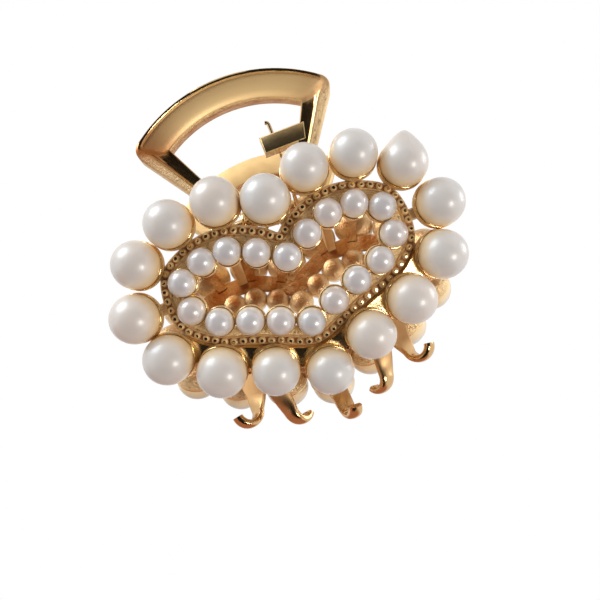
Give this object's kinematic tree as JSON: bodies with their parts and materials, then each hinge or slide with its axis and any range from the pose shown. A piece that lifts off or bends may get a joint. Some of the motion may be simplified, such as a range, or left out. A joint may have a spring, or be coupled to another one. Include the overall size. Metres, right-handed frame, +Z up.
{
  "type": "claw clip",
  "caption": "Spring-hinged claw clip for hair: two domed openwork jaws with a heart of pearls, dished finger loops and hooked teeth.",
  "frame": {"origin": "middle of the clip's footprint, at the height of its lowest tooth, with the clip upright and closed", "axes": "+X along the hinge pin, -Y the side that the front jaw faces, +Z up from the teeth to the finger loops"},
  "size_m": [0.0522, 0.037, 0.0515],
  "materials": {
    "gold_casting": "light gold plating over a zinc casting, polished",
    "gold_wire": "light gold plated steel",
    "pearl": "pearl lacquer over a moulded plastic half-round"
  },
  "bodies": {
    "back": {"back_jaw": "gold_casting", "hinge_pin": "gold_wire", "torsion_spring": "gold_wire", "back_large_pearl_01": "pearl", "back_large_pearl_02": "pearl", "back_large_pearl_03": "pearl", "back_large_pearl_04": "pearl", "back_large_pearl_05": "pearl", "back_large_pearl_06": "pearl", "back_large_pearl_07": "pearl", "back_large_pearl_08": "pearl", "back_large_pearl_09": "pearl", "back_large_pearl_10": "pearl", "back_large_pearl_11": "pearl", "back_large_pearl_12": "pearl", "back_large_pearl_13": "pearl", "back_large_pearl_14": "pearl", "back_large_pearl_15": "pearl", "back_large_pearl_16": "pearl"},
    "front": {"front_jaw": "gold_casting", "front_large_pearl_01": "pearl", "front_large_pearl_02": "pearl", "front_large_pearl_03": "pearl", "front_large_pearl_04": "pearl", "front_large_pearl_05": "pearl", "front_large_pearl_06": "pearl", "front_large_pearl_07": "pearl", "front_large_pearl_08": "pearl", "front_large_pearl_09": "pearl", "front_large_pearl_10": "pearl", "front_large_pearl_11": "pearl", "front_large_pearl_12": "pearl", "front_large_pearl_13": "pearl", "front_large_pearl_14": "pearl", "front_large_pearl_15": "pearl", "front_large_pearl_16": "pearl", "front_small_pearl_01": "pearl", "front_small_pearl_02": "pearl", "front_small_pearl_03": "pearl", "front_small_pearl_04": "pearl", "front_small_pearl_05": "pearl", "front_small_pearl_06": "pearl", "front_small_pearl_07": "pearl", "front_small_pearl_08": "pearl", "front_small_pearl_09": "pearl", "front_small_pearl_10": "pearl", "front_small_pearl_11": "pearl", "front_small_pearl_12": "pearl", "front_small_pearl_13": "pearl", "front_small_pearl_14": "pearl", "front_small_pearl_15": "pearl", "front_small_pearl_16": "pearl", "front_small_pearl_17": "pearl", "front_small_pearl_18": "pearl"}
  },
  "joints": [
    {"name": "jaw_pivot", "type": "hinge", "parent": "back", "child": "front", "pos_m": [0, 0, 0.03458], "axis": [-1, 0, 0], "range_deg": [0, 46], "stiffness_Nm_per_rad": 0.09, "springref_deg": -34.38, "deforming": ["torsion_spring"]}
  ]
}
